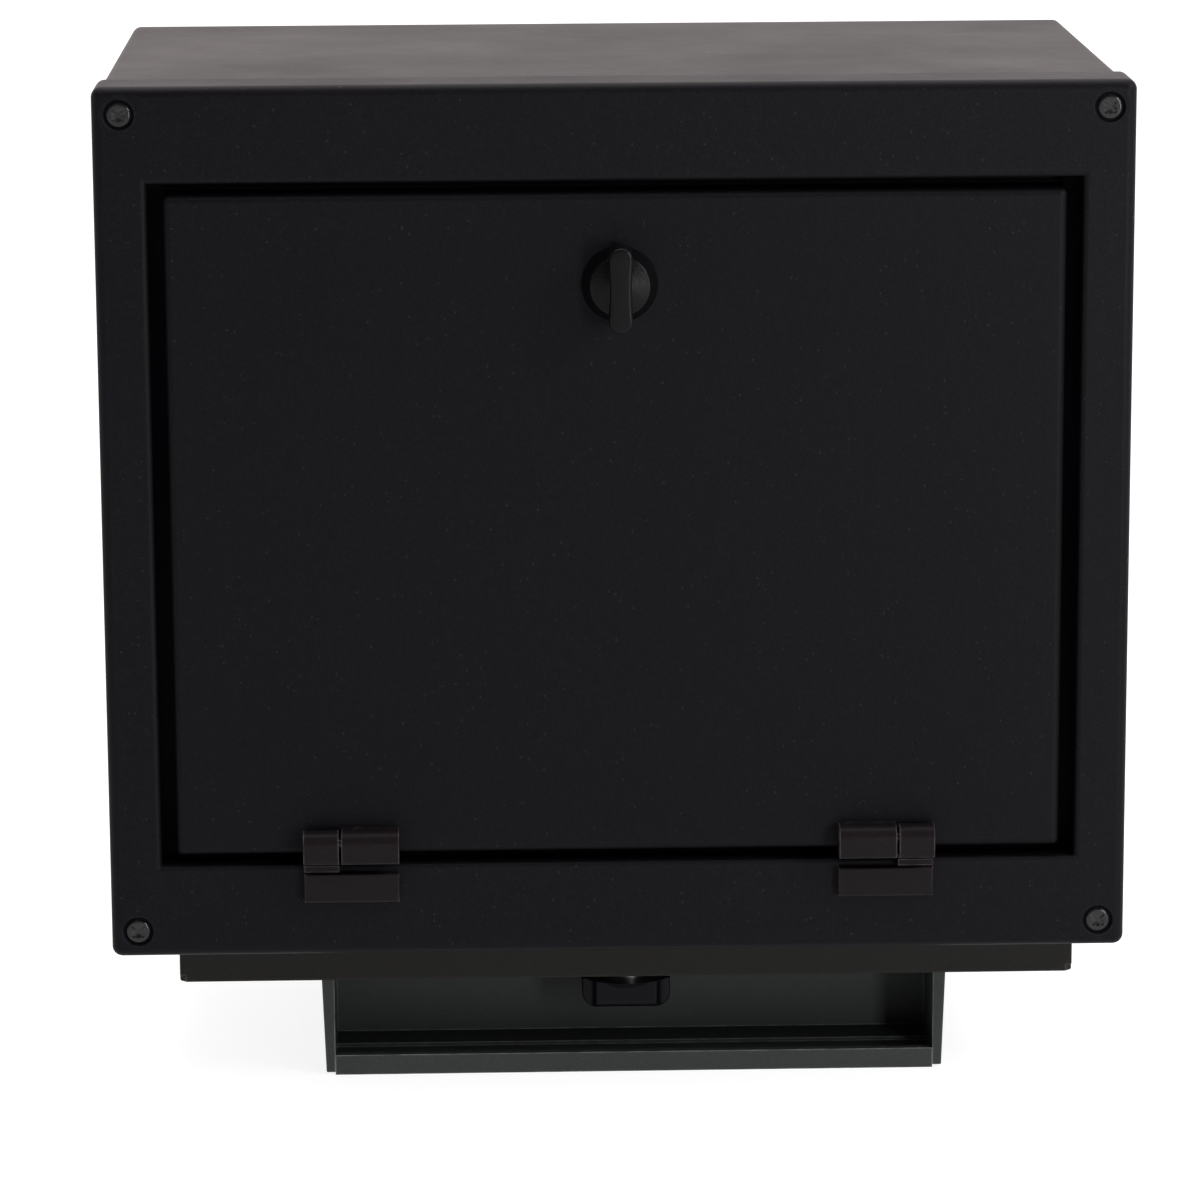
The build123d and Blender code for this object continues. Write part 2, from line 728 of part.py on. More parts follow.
def end_screw_cutter(side, inner, y, z):
    """A clearance hole with a flat-bottomed seat for the screw's head."""
    outer = inner + side * (end_plate_top + touch)
    seat = inner + side * end_seat_web
    hole = rod_x(min(inner, outer), max(inner, outer), y, z, end_screw_radius + hole_fit)
    return hole + rod_x(min(seat, outer), max(seat, outer), y, z, end_seat_radius)


def base_end_screws():
    """Screws through the end plates into the profile's bosses."""
    screw = pan_head_screw(end_head_radius, end_head_height, end_screw_radius, end_screw_length)
    pieces = []
    for side in (-1, 1):
        seat = base_x + side * (base_length / 2 + end_seat_web)
        for y, z in boss_places():
            pieces.append(Pos(seat, y, z) * Rot(0, 0, side * 90) * screw)
    return pieces


def clamp_knob():
    """The hand knob: four broad lobes between round scallops, under a cone-shaped collar."""
    hanging = (Align.CENTER, Align.CENTER, Align.MAX)
    body = Box(2 * clamp_reach, 2 * clamp_reach, clamp_knob_height, align=hanging)
    body = fillet(body.faces().sort_by(Axis.Z)[0].edges(), clamp_bottom_edge)
    for x in (-clamp_reach, clamp_reach):
        for y in (-clamp_reach, clamp_reach):
            body = body - Pos(x, y) * Cylinder(clamp_scallop_radius, clamp_knob_height, align=hanging)
    straight = body.edges().filter_by(GeomType.LINE).filter_by(Axis.Z)
    body = fillet(straight, clamp_scallop_edge)
    collar = Cone(clamp_collar_radius - clamp_collar_height, clamp_collar_radius, clamp_collar_height,
                  align=hanging)
    bore = Cylinder(clamp_thread_radius + press_fit, clamp_knob_height, align=hanging)
    return Pos(pan_x, clamp_y, flange_under - clamp_washer) * (body + collar - bore)


def clamp_stud():
    """The threaded stud moulded in the knob."""
    top = pan_bottom + sheet + clamp_nut_height + clamp_stud_overrun
    low = flange_under - clamp_washer - clamp_knob_height + hole_fit
    stud = rod_z(pan_x, clamp_y, low, top, clamp_thread_radius)
    return chamfer(stud.edges().filter_by(GeomType.CIRCLE).sort_by(Axis.Z)[-1], clamp_stud_chamfer)


def clamp_washer_ring():
    """The washer between the knob and the base's flange."""
    ring = rod_z(pan_x, clamp_y, flange_under - clamp_washer, flange_under, clamp_washer_radius)
    return ring - rod_z(pan_x, clamp_y, flange_under - clamp_washer, flange_under,
                        clamp_thread_radius + hole_fit)


os.makedirs("parts", exist_ok=True)
export("front_cover", front_cover())
export("corner_screws", corner_screws())
export("corner_nuts", corner_nuts())
export("body_shell", body_shell())
export("rear_panel", rear_panel())
export("rear_panel_screws", rear_panel_screws())
export("rear_panel_nuts", rear_panel_nuts())
export("door_stop_frame", door_stop_frame())
export("door_seal", door_seal())
export("latch_keeper", latch_keeper())
export("door_panel", door_panel())
for name, side in (("left", -1), ("right", 1)):
    export(f"hinge_{name}_frame_leaf", hinge_frame_leaf(side))
    export(f"hinge_{name}_door_leaf", hinge_door_leaf(side))
    export(f"hinge_{name}_pin", hinge_pin(side))
    export(f"base_end_{name}", base_end(side))
export("hinge_frame_screws", hinge_frame_screws())
export("hinge_door_screws", hinge_door_screws())
export("latch_bushing", latch_bushing())
export("latch_bushing_nut", latch_bushing_nut())
export("latch_knob", latch_knob())
export("latch_spindle", latch_spindle())
export("latch_cam", latch_cam())
export("cam_nut", cam_nut())
export("base_pan", base_pan())
export("pan_standoffs", pan_standoffs())
export("pan_screws", pan_screws())
export("clamp_nut", clamp_nut())
export("base_profile", base_profile())
export("base_end_screws", base_end_screws())
export("clamp_knob", clamp_knob())
export("clamp_stud", clamp_stud())
export("clamp_washer", clamp_washer_ring())
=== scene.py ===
"""Parcel drop box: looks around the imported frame. Metres, Z up, the door faces -Y."""
import bpy
import bmesh
import math
from mathutils import Matrix, Vector


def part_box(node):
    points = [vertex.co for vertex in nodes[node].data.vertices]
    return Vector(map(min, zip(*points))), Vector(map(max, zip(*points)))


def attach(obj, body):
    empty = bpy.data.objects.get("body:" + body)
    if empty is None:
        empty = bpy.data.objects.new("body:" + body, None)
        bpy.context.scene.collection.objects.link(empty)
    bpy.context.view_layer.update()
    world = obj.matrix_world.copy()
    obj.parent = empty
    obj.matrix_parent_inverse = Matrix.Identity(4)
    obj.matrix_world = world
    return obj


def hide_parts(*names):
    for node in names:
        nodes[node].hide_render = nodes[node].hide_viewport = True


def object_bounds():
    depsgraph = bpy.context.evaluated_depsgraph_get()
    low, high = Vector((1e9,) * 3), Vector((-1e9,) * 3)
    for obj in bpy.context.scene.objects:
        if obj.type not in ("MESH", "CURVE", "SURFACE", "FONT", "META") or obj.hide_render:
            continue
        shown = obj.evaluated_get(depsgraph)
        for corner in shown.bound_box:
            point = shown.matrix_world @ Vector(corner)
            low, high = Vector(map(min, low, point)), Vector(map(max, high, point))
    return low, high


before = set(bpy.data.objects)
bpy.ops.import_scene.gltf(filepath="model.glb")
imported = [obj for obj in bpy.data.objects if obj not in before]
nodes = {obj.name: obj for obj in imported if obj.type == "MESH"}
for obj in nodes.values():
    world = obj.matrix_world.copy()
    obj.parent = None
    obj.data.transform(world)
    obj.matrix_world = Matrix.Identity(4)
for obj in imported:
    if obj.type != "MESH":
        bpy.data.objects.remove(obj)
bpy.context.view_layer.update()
MM = 0.001


# ---------------------------------------------------------------- camera, floor and light
CAMERA_PLACE = (-67.6 * MM, -2101.9 * MM, 628.2 * MM)
CAMERA_YAW = math.radians(1.566)
CAMERA_PITCH = math.radians(12.226)
CAMERA_ROLL = math.radians(-0.290)
CAMERA_LENS = 154.94
SENSOR_WIDTH = 36.0
CAMERA_RANGE = 60.0


def make_camera():
    """The camera, at the photograph's viewing angle."""
    data = bpy.data.cameras.new("camera")
    data.sensor_width = SENSOR_WIDTH
    data.lens = CAMERA_LENS
    data.clip_end = CAMERA_RANGE
    camera = bpy.data.objects.new("camera", data)
    yaw = Matrix.Rotation(-CAMERA_YAW, 4, "Z")
    pitch = Matrix.Rotation(math.pi / 2 - CAMERA_PITCH, 4, "X")
    roll = Matrix.Rotation(CAMERA_ROLL, 4, "Z")
    camera.matrix_world = Matrix.Translation(CAMERA_PLACE) @ (yaw @ pitch) @ roll
    bpy.context.scene.collection.objects.link(camera)
    bpy.context.scene.camera = camera


# Each soft box: its name, its place, what it points at, its size and its power
LIGHTS = (
    ("key", (1.25, -0.85, 1.05), (0.0, 0.0, 0.2), (0.5, 0.5), 17.0),
    ("side", (1.05, -2.05, 0.26), (0.1, 0.0, 0.25), (0.3, 0.7), 18.0),
    ("top", (0.0, 0.5, 2.6), (0.0, 0.0, 0.2), (2.6, 2.6), 60.0),
)


def area_light(name, place, target, size, power):
    """A soft box that points at a target."""
    data = bpy.data.lights.new(name, "AREA")
    data.shape = "RECTANGLE"
    data.size, data.size_y = size
    data.energy = power
    light = bpy.data.objects.new(name, data)
    aim = Vector(target) - Vector(place)
    light.rotation_euler = aim.to_track_quat("-Z", "Y").to_euler()
    light.location = place
    bpy.context.scene.collection.objects.link(light)


# The surround's strength on the camera's side and behind the object, between which two depths it
# rises, how far it leans to the right, its colour, and the strength of the backdrop
SURROUND_FRONT = 0.05
SURROUND_BACK = 1.47
SURROUND_LEAN = 0.05
SURROUND_RISE = (-0.9, 0.5)
SURROUND_TINT = (1.0, 0.90, 0.90, 1.0)
BACKDROP = 1.0


def make_world():
    """A pale surround, white behind the object and above it, and dim on the camera's side."""
    world = bpy.data.worlds.new("studio")
    bpy.context.scene.world = world
    world.use_nodes = True
    tree = world.node_tree
    tree.nodes.clear()
    new, link = tree.nodes.new, tree.links.new
    place = new("ShaderNodeTexCoord")
    split = new("ShaderNodeSeparateXYZ")
    link(place.outputs["Generated"], split.inputs[0])
    ramp = new("ShaderNodeMapRange")
    ramp.inputs["From Min"].default_value = SURROUND_RISE[0]
    ramp.inputs["From Max"].default_value = SURROUND_RISE[1]
    ramp.inputs["To Min"].default_value = SURROUND_FRONT
    ramp.inputs["To Max"].default_value = SURROUND_BACK
    link(split.outputs["Y"], ramp.inputs["Value"])
    lean = new("ShaderNodeMapRange")
    lean.inputs["From Min"].default_value = -1.0
    lean.inputs["To Min"].default_value = 1.0 - SURROUND_LEAN
    lean.inputs["To Max"].default_value = 1.0 + SURROUND_LEAN
    link(split.outputs["X"], lean.inputs["Value"])
    strength = new("ShaderNodeMath")
    strength.operation = "MULTIPLY"
    link(ramp.outputs[0], strength.inputs[0])
    link(lean.outputs[0], strength.inputs[1])
    surround = new("ShaderNodeBackground")
    surround.inputs["Color"].default_value = SURROUND_TINT
    link(strength.outputs[0], surround.inputs["Strength"])
    backdrop = new("ShaderNodeBackground")
    backdrop.inputs["Strength"].default_value = BACKDROP
    path = new("ShaderNodeLightPath")
    mix = new("ShaderNodeMixShader")
    link(path.outputs["Is Camera Ray"], mix.inputs[0])
    link(surround.outputs[0], mix.inputs[1])
    link(backdrop.outputs[0], mix.inputs[2])
    link(mix.outputs[0], new("ShaderNodeOutputWorld").inputs[0])


FLOOR_REACH = 30.0
FLOOR_GREY = 0.26
FLOOR_GLOW = 0.86
FLOOR_SPECULAR = 0.2
FLOOR_ROUGHNESS = (0.62, 0.78)
FLOOR_GRAIN = (9.0, 3.0)


def make_floor():
    """A large pale floor under the object."""
    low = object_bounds()[0]
    mesh = bpy.data.meshes.new("floor")
    corners = ((-1, -1), (1, -1), (1, 1), (-1, 1))
    mesh.from_pydata([(x * FLOOR_REACH, y * FLOOR_REACH, low[2]) for x, y in corners], [],
                     [tuple(range(len(corners)))])
    floor = bpy.data.objects.new("floor", mesh)
    bpy.context.scene.collection.objects.link(floor)
    material = Graph("floor_paint")
    material.set(color=(FLOOR_GREY,) * 3, specular=FLOOR_SPECULAR, glow=FLOOR_GLOW)
    material.to("Roughness", material.spread(material.noise(*FLOOR_GRAIN), *FLOOR_ROUGHNESS))
    floor.data.materials.append(material.material)


# ---------------------------------------------------------------- materials
MIX_COLOUR_SOCKETS = (6, 7)
MIX_COLOUR_RESULT = 2
BEVEL_SAMPLES = 4
EDGE_FADE = (0.80, 0.985)
WHITE = (1.0, 1.0, 1.0, 1.0)


def shade(colour, factor):
    """A colour made lighter or darker."""
    return tuple(factor * channel for channel in colour)


class Graph:
    """A Principled material, and short calls for the nodes that feed it."""

    def __init__(self, name):
        self.material = bpy.data.materials.new(name)
        self.material.use_nodes = True
        self.tree = self.material.node_tree
        self.shader = self.tree.nodes["Principled BSDF"]
        self.place = self.tree.nodes.new("ShaderNodeTexCoord").outputs["Object"]

    def node(self, kind, **settings):
        made = self.tree.nodes.new(kind)
        for key, value in settings.items():
            setattr(made, key, value)
        return made

    def link(self, source, target):
        self.tree.links.new(source, target)

    def set(self, color=None, specular=None, metallic=None, glow=None):
        """Constant values, on the shader's own sockets."""
        pairs = (("Specular IOR Level", specular), ("Metallic", metallic), ("Emission Strength", glow))
        for socket, value in pairs:
            if value is not None:
                self.shader.inputs[socket].default_value = value
        if color is not None:
            self.shader.inputs["Base Color"].default_value = (*color, 1.0)
        if glow is not None:
            self.shader.inputs["Emission Color"].default_value = WHITE

    def to(self, socket, source):
        self.link(source, self.shader.inputs[socket])

    def noise(self, scale, detail=2.0, rough=0.5, place=None):
        made = self.node("ShaderNodeTexNoise")
        made.inputs["Scale"].default_value = scale
        made.inputs["Detail"].default_value = detail
        made.inputs["Roughness"].default_value = rough
        self.link(place or self.place, made.inputs["Vector"])
        return made.outputs["Fac"]

    def cells(self, scale):
        made = self.node("ShaderNodeTexVoronoi")
        made.inputs["Scale"].default_value = scale
        self.link(self.place, made.inputs["Vector"])
        return made

    def spread(self, value, low, high, start=0.0, stop=1.0):
        made = self.node("ShaderNodeMapRange")
        settings = (("From Min", start), ("From Max", stop), ("To Min", low), ("To Max", high))
        for name, number in settings:
            made.inputs[name].default_value = number
        self.link(value, made.inputs["Value"])
        return made.outputs["Result"]

    def math(self, operation, first, second):
        made = self.node("ShaderNodeMath", operation=operation)
        for slot, value in enumerate((first, second)):
            if isinstance(value, (int, float)):
                made.inputs[slot].default_value = value
            else:
                self.link(value, made.inputs[slot])
        return made.outputs[0]

    def mix(self, factor, first, second):
        made = self.node("ShaderNodeMix", data_type="RGBA")
        self.link(factor, made.inputs["Factor"])
        for slot, value in zip(MIX_COLOUR_SOCKETS, (first, second)):
            if isinstance(value, tuple):
                made.inputs[slot].default_value = (*value, 1.0)
            else:
                self.link(value, made.inputs[slot])
        return made.outputs[MIX_COLOUR_RESULT]

    def bump(self, height, relief, grain=1.0, normal=None):
        """A bump from a height, with its (strength, depth) and how strong the grain is."""
        strength, distance = relief
        made = self.node("ShaderNodeBump")
        made.inputs["Strength"].default_value = strength * grain
        made.inputs["Distance"].default_value = distance
        self.link(height, made.inputs["Height"])
        if normal:
            self.link(normal, made.inputs["Normal"])
        return made.outputs["Normal"]

    def edge_mask(self, radius):
        """1 on the sharp and rounded edges, 0 on flat faces."""
        bevel = self.node("ShaderNodeBevel", samples=BEVEL_SAMPLES)
        bevel.inputs["Radius"].default_value = radius
        flat = self.node("ShaderNodeNewGeometry").outputs["Normal"]
        dot = self.node("ShaderNodeVectorMath", operation="DOT_PRODUCT")
        self.link(bevel.outputs[0], dot.inputs[0])
        self.link(flat, dot.inputs[1])
        return self.spread(dot.outputs["Value"], 1.0, 0.0, *EDGE_FADE)


# Powder coat. Noises are (scale, detail, roughness), and reliefs are (strength, depth).
COAT_CLOUD = (14.0, 4.0, 0.6)
COAT_GRIT = (1500.0, 2.0, 0.6)
COAT_PEEL = (520.0, 2.0, 0.5)
COAT_WAVE = (170.0, 2.0, 0.5)
COAT_RUB_AND_HIGHLIGHT = (160.0, 3.0)
COAT_SHADES = (0.82, 1.18)
GRIT_MIX = (0.0, 0.45, 0.50, 0.75)
GRIT_ROUGHNESS = (-0.07, 0.07)
CLOUD_ROUGHNESS = (-0.04, 0.05)
CLOUD_SPAN = (0.3, 0.7)
FLECK_SCALE = 430.0
FLECK_THRESHOLD = 0.86
FLECK_EDGE = (0.10, 0.26)
FLECK_SHADE = 2.2
FLECK_MIX = 0.5
FLECK_POLISH = 0.25
# Rubbed edges: real paint wear, and also a painted highlight that lightens the coat along its edges.
RUB_AND_HIGHLIGHT_EDGE = 0.9 * MM
RUB_AND_HIGHLIGHT_PATCHES = (0.25, 1.0, 0.35, 0.65)
RUB_AND_HIGHLIGHT_MIX = 0.55
RUB_POLISH = 0.10
WAVE_RELIEF = (0.35, 0.25 * MM)
PEEL_RELIEF = (0.35, 0.12 * MM)
FLECK_RELIEF = (0.8, -0.15 * MM)
GRIT_RELIEF = (0.45, 0.05 * MM)


def powder_coat(name, colour, light, roughness=0.5, grain=1.0, specular=0.13, flecks=0.5, wear_and_highlight=2.0):
    """A fine-textured powder coat: orange peel, grit, sparse light flecks, and rubbed edges made
    lighter both by wear and by a painted highlight.
    """
    g = Graph(name)
    g.set(specular=specular)
    cloud = g.noise(*COAT_CLOUD)
    grit = g.noise(*COAT_GRIT)
    cells = g.cells(FLECK_SCALE)
    chosen = g.math("GREATER_THAN", cells.outputs["Color"], FLECK_THRESHOLD)
    near = g.spread(cells.outputs["Distance"], 1.0, 0.0, *FLECK_EDGE)
    spot = g.math("MULTIPLY", g.math("MULTIPLY", near, chosen), flecks)
    patches = g.spread(g.noise(*COAT_RUB_AND_HIGHLIGHT), *RUB_AND_HIGHLIGHT_PATCHES)
    # Edge mask broken into patches: worn paint and a painted highlight together.
    worn_and_lit = g.math("MULTIPLY", g.edge_mask(RUB_AND_HIGHLIGHT_EDGE), patches)
    low, high = COAT_SHADES
    base = g.mix(cloud, shade(colour, low), shade(colour, high))
    base = g.mix(g.spread(grit, *GRIT_MIX), base, light)
    base = g.mix(g.math("MULTIPLY", spot, FLECK_MIX), base, shade(light, FLECK_SHADE))
    # The edges take a lighter colour: partly wear, partly a painted highlight.
    g.to("Base Color", g.mix(g.math("MULTIPLY", worn_and_lit, RUB_AND_HIGHLIGHT_MIX), base, shade(light, wear_and_highlight)))
    low, high = CLOUD_ROUGHNESS
    rough = g.spread(cloud, roughness + low, roughness + high, *CLOUD_SPAN)
    rough = g.math("ADD", rough, g.spread(grit, *GRIT_ROUGHNESS))
    rough = g.math("SUBTRACT", rough, g.math("MULTIPLY", spot, FLECK_POLISH))
    g.to("Roughness", g.math("SUBTRACT", rough, g.math("MULTIPLY", worn_and_lit, RUB_POLISH)))
    normal = g.bump(g.noise(*COAT_WAVE), WAVE_RELIEF, grain)
    normal = g.bump(g.noise(*COAT_PEEL), PEEL_RELIEF, grain, normal)
    normal = g.bump(spot, FLECK_RELIEF, grain, normal)
    g.to("Normal", g.bump(grit, GRIT_RELIEF, grain, normal))
    return g.material


# Zinc-plated steel
STEEL_STRETCH = (1.0, 14.0, 14.0)
STEEL_LINES = (420.0, 3.0, 0.6)
STEEL_CLOUD = (90.0, 4.0, 0.6)
STEEL_SHADES = (0.72, 1.2)
STEEL_LINE_MIX = (0.0, 0.35)
STEEL_LINE_SHADE = 0.55
STEEL_ROUGHNESS = (0.28, 0.48)
STEEL_LINE_ROUGHNESS = (-0.05, 0.05)
STEEL_RELIEF = (0.2, 0.02 * MM)


def plain_steel(name, colour):
    """Zinc-plated steel: a metal with fine brush lines, cloudy plating and dull spots."""
    g = Graph(name)
    g.set(metallic=1.0)
    stretch = g.node("ShaderNodeMapping")
    stretch.inputs["Scale"].default_value = STEEL_STRETCH
    g.link(g.place, stretch.inputs["Vector"])
    lines = g.noise(*STEEL_LINES, stretch.outputs["Vector"])
    cloud = g.noise(*STEEL_CLOUD)
    low, high = STEEL_SHADES
    base = g.mix(cloud, shade(colour, low), shade(colour, high))
    g.to("Base Color", g.mix(g.spread(lines, *STEEL_LINE_MIX), base, shade(colour, STEEL_LINE_SHADE)))
    streaks = g.spread(lines, *STEEL_LINE_ROUGHNESS)
    g.to("Roughness", g.math("ADD", g.spread(cloud, *STEEL_ROUGHNESS), streaks))
    g.to("Normal", g.bump(lines, STEEL_RELIEF))
    return g.material


# Moulded plastic
MOULD_SPARK = (900.0, 3.0, 0.65)
MOULD_PITS = 1100.0
MOULD_CLOUD = (60.0, 3.0)
MOULD_EDGE = 0.6 * MM
MOULD_SHADES = (0.8, 1.25)
# Painted highlight: how much lighter the colour is made along the edges, and how strongly it is mixed
# in.
MOULD_EDGE_HIGHLIGHT_SHADE = 9.0
MOULD_EDGE_HIGHLIGHT_MIX = 0.6
MOULD_EDGE_POLISH = 0.08
MOULD_SPARK_ROUGHNESS = 0.1
MOULD_CLOUD_ROUGHNESS = (-0.04, 0.04)
SPARK_RELIEF = (0.5, 0.08 * MM)
PIT_RELIEF = (0.3, 0.05 * MM)


def moulded(name, colour, roughness, specular, grain=1.0):
    """Moulded black plastic with an eroded spark texture, slightly polished edges, and a painted
    highlight that lightens the colour along its edges.
    """
    g = Graph(name)
    g.set(specular=specular)
    spark = g.noise(*MOULD_SPARK)
    pits = g.cells(MOULD_PITS).outputs["Distance"]
    cloud = g.noise(*MOULD_CLOUD)
    edge = g.edge_mask(MOULD_EDGE)
    low, high = MOULD_SHADES
    base = g.mix(cloud, shade(colour, low), shade(colour, high))
    # Painted highlight: the base colour lightened along the edges.
    edge_highlight = g.math("MULTIPLY", edge, MOULD_EDGE_HIGHLIGHT_MIX)
    g.to("Base Color", g.mix(edge_highlight, base, shade(colour, MOULD_EDGE_HIGHLIGHT_SHADE)))
    rough = g.spread(spark, roughness - MOULD_SPARK_ROUGHNESS, roughness + MOULD_SPARK_ROUGHNESS)
    rough = g.math("ADD", rough, g.spread(cloud, *MOULD_CLOUD_ROUGHNESS))
    g.to("Roughness", g.math("SUBTRACT", rough, g.math("MULTIPLY", edge, MOULD_EDGE_POLISH)))
    g.to("Normal", g.bump(spark, SPARK_RELIEF, grain, g.bump(pits, PIT_RELIEF, grain)))
    return g.material


# Rubber
RUBBER_BLOOM = (120.0, 5.0, 0.7)
RUBBER_GRIT = (1300.0, 2.0)
RUBBER_SPECULAR = 0.08
RUBBER_BLOOM_SHADE = 2.4
RUBBER_ROUGHNESS = (0.68, 0.9)
RUBBER_RELIEF = (0.4, 0.05 * MM)


def rubber(name, colour):
    """Black rubber with a dusty bloom."""
    g = Graph(name)
    g.set(specular=RUBBER_SPECULAR)
    bloom = g.noise(*RUBBER_BLOOM)
    g.to("Base Color", g.mix(bloom, colour, shade(colour, RUBBER_BLOOM_SHADE)))
    g.to("Roughness", g.spread(bloom, *RUBBER_ROUGHNESS))
    g.to("Normal", g.bump(g.noise(*RUBBER_GRIT), RUBBER_RELIEF))
    return g.material


def paint(names, material):
    """Give CAD nodes a material in their first slot."""
    for name in names:
        if nodes[name].data.materials:
            nodes[name].data.materials[0] = material
        else:
            nodes[name].data.materials.append(material)


def make_materials():
    """One material for each finish on the object."""
    return {
        # The wear values set how strongly each coat's edges are lightened: partly real wear, partly a
        # painted highlight.
        "cover": powder_coat("cover_coat", (0.0026, 0.0023, 0.0036), (0.012, 0.011, 0.014),
                             specular=0.077, flecks=1.1, wear_and_highlight=3.0),
        "body": powder_coat("body_coat", (0.0036, 0.0031, 0.0036), (0.015, 0.013, 0.014)),
        "door": powder_coat("door_coat", (0.0024, 0.0022, 0.0034), (0.010, 0.010, 0.013),
                            specular=0.077, flecks=1.1),
        # Painted shade: the inner coat is darker than the outer coat, so that the gaps around the door
        # look shaded.
        "inner": powder_coat("inner_coat", (0.0010, 0.0010, 0.0011), (0.003, 0.003, 0.003),
                             specular=0.05, flecks=0.1),
        "pan": powder_coat("pan_coat", (0.0070, 0.0067, 0.0061), (0.020, 0.019, 0.017),
                           flecks=0.2, wear_and_highlight=10.0),
        "base": powder_coat("base_coat", (0.0262, 0.0300, 0.0284), (0.048, 0.053, 0.051),
                            flecks=0.1, wear_and_highlight=7.0),
        "hinge": powder_coat("hinge_coat", (0.0058, 0.0044, 0.0050), (0.019, 0.016, 0.017),
                             roughness=0.36, grain=0.5, flecks=0.0, specular=0.08, wear_and_highlight=10.0),
        "screw": powder_coat("screw_black", (0.003, 0.003, 0.0035), (0.015, 0.015, 0.015),
                             roughness=0.24, grain=0.25, specular=0.35, flecks=0.0, wear_and_highlight=4.0),
        "steel": plain_steel("zinc_steel", (0.52, 0.52, 0.50)),
        "rubber": rubber("seal_rubber", (0.0022, 0.0022, 0.0022)),
        "latch": moulded("latch_plastic", (0.0020, 0.0020, 0.0026), roughness=0.30, specular=0.11),
        "clamp": moulded("clamp_plastic", (0.0016, 0.0015, 0.0030), roughness=0.34, specular=0.09,
                         grain=2.2),
    }


def paint_frame(finish):
    """Every CAD node that shows gets its material."""
    paint(["front_cover"], finish["cover"])
    paint(["body_shell", "rear_panel"], finish["body"])
    paint(["door_panel"], finish["door"])
    # The parts seen through the door gaps get the darker coat that paints shade there.
    paint(["door_stop_frame", "latch_keeper"], finish["inner"])
    paint(["base_pan"], finish["pan"])
    paint(["base_profile", "base_end_left", "base_end_right"], finish["base"])
    paint(["hinge_left_frame_leaf", "hinge_right_frame_leaf",
           "hinge_left_door_leaf", "hinge_right_door_leaf"], finish["hinge"])
    paint(["corner_screws", "rear_panel_screws", "base_end_screws", "pan_screws",
           "hinge_left_pin", "hinge_right_pin"], finish["screw"])
    paint(["corner_nuts", "rear_panel_nuts", "hinge_frame_screws",
           "hinge_door_screws", "latch_bushing", "latch_bushing_nut", "latch_spindle", "latch_cam",
           "cam_nut", "pan_standoffs", "clamp_nut", "clamp_stud", "clamp_washer"], finish["steel"])
    paint(["clamp_knob"], finish["clamp"])


# ---------------------------------------------------------------- pieces in place of plain CAD nodes
KNOB_STEPS = 96
KNOB_AXIS_RADIUS = 0.2 * MM
KNOB_SKIRT_TOP = 9.0 * MM
KNOB_DOME = 1.8 * MM
KNOB_TOP_RADIUS = 11.75 * MM
KNOB_EDGE = 0.7 * MM
KNOB_EDGE_STEPS = 6
KNOB_FOOT_LIP = 0.5 * MM
KNOB_HOLLOW = (10.2 * MM, 2.7 * MM)
KNOB_BORE = (4.02 * MM, 13.0 * MM)
GRIP_WIDTH = 9.3 * MM
GRIP_WAIST = 8.2 * MM
GRIP_ROOT = 5.0 * MM
GRIP_EDGE = 1.3 * MM
GRIP_EDGE_STEPS = 8
GRIP_SIDE_STEPS = 14
GRIP_END_STEPS = 20
SEAL_WIDTH = 10.0 * MM
SEAL_GROOVE = 1.4 * MM
SEAL_RIBS = 2
SEAL_STEPS = 32
SEAL_CORNERS = ((0, 0), (1, 0), (1, 1), (0, 1))
SMOOTH_ANGLE = math.radians(32)


def middle_of(name):
    """The centre of a CAD node's box."""
    low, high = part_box(name)
    return [(a + b) / 2 for a, b in zip(low, high)]


def mesh_object(name, points, faces):
    """A new object from points and faces, with its normals outward."""
    mesh = bpy.data.meshes.new(name)
    mesh.from_pydata(points, [], faces)
    body = bmesh.new()
    body.from_mesh(mesh)
    bmesh.ops.recalc_face_normals(body, faces=body.faces)
    body.to_mesh(mesh)
    body.free()
    made = bpy.data.objects.new(name, mesh)
    bpy.context.scene.collection.objects.link(made)
    return made


def ring_quads(first, second, size):
    """Quads between two rings of points."""
    starts = [(k, (k + 1) % size) for k in range(size)]
    return [(first * size + k, first * size + after, second * size + after, second * size + k)
            for k, after in starts]


def rings_to_faces(count, size):
    """Quads between rings of points, and a flat end on the first ring and on the last."""
    faces = [face for ring in range(count - 1) for face in ring_quads(ring, ring + 1, size)]
    last = (count - 1) * size
    return faces + [tuple(range(size)), tuple(range(last, last + size))]


def combine(base, other, operation):
    """Join or cut one mesh with another, for good."""
    modifier = base.modifiers.new("combine", "BOOLEAN")
    modifier.object = other
    modifier.operation = operation
    modifier.solver = "EXACT"
    bpy.context.view_layer.update()
    result = base.evaluated_get(bpy.context.evaluated_depsgraph_get())
    mesh = bpy.data.meshes.new_from_object(result)
    base.modifiers.clear()
    base.data = mesh
    bpy.data.objects.remove(other)


def finish_piece(piece, material, body, replaced):
    """Smooth shading, one material, and what the frame needs to know."""
    piece.data.materials.clear()
    piece.data.materials.append(material)
    piece.data.shade_smooth()
    piece.data.set_sharp_from_angle(angle=SMOOTH_ANGLE)
    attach(piece, body)
    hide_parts(replaced)


def turned(name, profile, centre, back):
    """A closed body turned about an axis along Y, from (radius, height in front of the back) pairs."""
    points = []
    for radius, height in profile:
        for step in range(KNOB_STEPS):
            angle = 2 * math.pi * step / KNOB_STEPS
            points.append((centre[0] + radius * math.cos(angle), back - height,
                           centre[2] + radius * math.sin(angle)))
    return mesh_object(name, points, rings_to_faces(len(profile), KNOB_STEPS))


def quarter_turn(steps):
    """Angles from 0 to a right angle, in even steps."""
    return [math.pi / 2 * k / steps for k in range(steps + 1)]


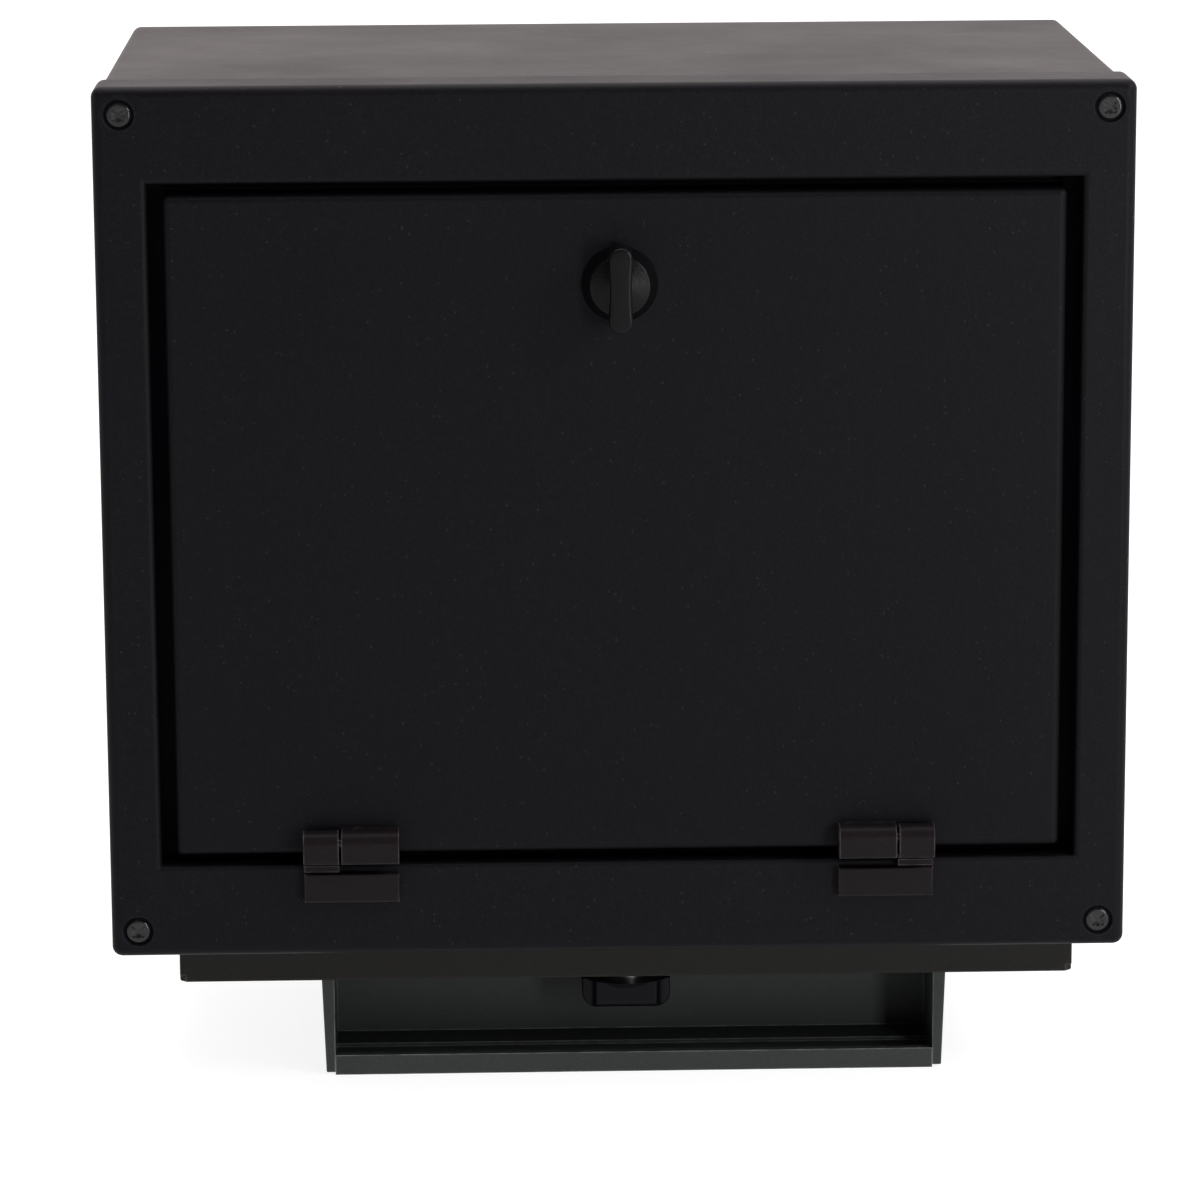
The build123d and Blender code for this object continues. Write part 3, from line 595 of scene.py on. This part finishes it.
def grip_ring(inset, reach):
    """The wing grip's outline, drawn in by an inset: two round ends and two hollow sides."""
    end = GRIP_WIDTH / 2 - inset
    waist = GRIP_WAIST / 2 - inset
    centre = reach - GRIP_WIDTH / 2
    hollow = (centre ** 2 + waist ** 2 - end ** 2) / (2 * (end - waist))
    side_z = centre * hollow / (end + hollow)
    turn = math.asin(centre / (end + hollow))
    ring = []
    for flip in (1, -1):
        for step in range(GRIP_SIDE_STEPS):
            z = side_z * (1 - 2 * step / GRIP_SIDE_STEPS)
            ring.append((flip * (waist + hollow - math.sqrt(hollow ** 2 - z ** 2)), flip * z))
        for step in range(GRIP_END_STEPS):
            angle = -turn - (math.pi - 2 * turn) * step / GRIP_END_STEPS
            ring.append((flip * end * math.cos(angle), flip * (-centre + end * math.sin(angle))))
    return ring


def make_latch_knob(material):
    """The knob: a tapered skirt, a low domed face with a rounded rim, and a wing grip on it."""
    low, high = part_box("latch_knob")
    centre = middle_of("latch_knob")
    foot = (high[0] - low[0]) / 2
    height = high[1] - low[1]
    reach = (high[2] - low[2]) / 2
    crown = KNOB_SKIRT_TOP - KNOB_DOME
    profile = [(KNOB_AXIS_RADIUS, 0.0), (foot - KNOB_FOOT_LIP / 2, 0.0),
               (foot, KNOB_FOOT_LIP / 2), (foot, KNOB_FOOT_LIP)]
    profile += [(KNOB_TOP_RADIUS - KNOB_EDGE * (1 - math.cos(angle)),
                 crown - KNOB_EDGE * (1 - math.sin(angle))) for angle in quarter_turn(KNOB_EDGE_STEPS)]
    profile += [(KNOB_AXIS_RADIUS, KNOB_SKIRT_TOP)]
    knob = turned("latch_knob_moulding", profile, centre, high[1])
    levels = [(0.0, GRIP_ROOT)]
    levels += [(GRIP_EDGE * (1 - math.cos(angle)), height - GRIP_EDGE * (1 - math.sin(angle)))
               for angle in quarter_turn(GRIP_EDGE_STEPS)]
    points = []
    for inset, level in levels:
        for x, z in grip_ring(inset, reach):
            points.append((centre[0] + x, high[1] - level, centre[2] + z))
    size = len(points) // len(levels)
    grip = mesh_object("latch_grip_tool", points, rings_to_faces(len(levels), size))
    combine(knob, grip, "UNION")
    for radius, depth in (KNOB_HOLLOW, KNOB_BORE):
        tool = turned("latch_bore_tool", [(radius, -MM), (radius, depth)], centre, high[1])
        combine(knob, tool, "DIFFERENCE")
    finish_piece(knob, material, "latch", "latch_knob")


def make_door_seal(material):
    """The rubber ring: four mitred lengths with two soft ribs that face the door."""
    low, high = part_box("door_seal")
    section = [(0.0, high[1])]
    for step in range(SEAL_STEPS + 1):
        share = step / SEAL_STEPS
        rib = SEAL_GROOVE * (1 + math.cos(2 * math.pi * SEAL_RIBS * share)) / 2
        section.append((SEAL_WIDTH * share, low[1] + rib))
    section.append((SEAL_WIDTH, high[1]))
    size = len(section)
    points = []
    for right, top in SEAL_CORNERS:
        for inset, y in section:
            x = high[0] - inset if right else low[0] + inset
            z = high[2] - inset if top else low[2] + inset
            points.append((x, y, z))
    corners = len(SEAL_CORNERS)
    faces = [face for corner in range(corners)
             for face in ring_quads(corner, (corner + 1) % corners, size)]
    seal = mesh_object("door_seal_strip", points, faces)
    finish_piece(seal, material, "box", "door_seal")


bpy.context.scene.view_settings.view_transform = "Standard"
make_camera()
make_world()
make_floor()
for light in LIGHTS:
    area_light(*light)
finish = make_materials()
paint_frame(finish)
make_latch_knob(finish["latch"])
make_door_seal(finish["rubber"])
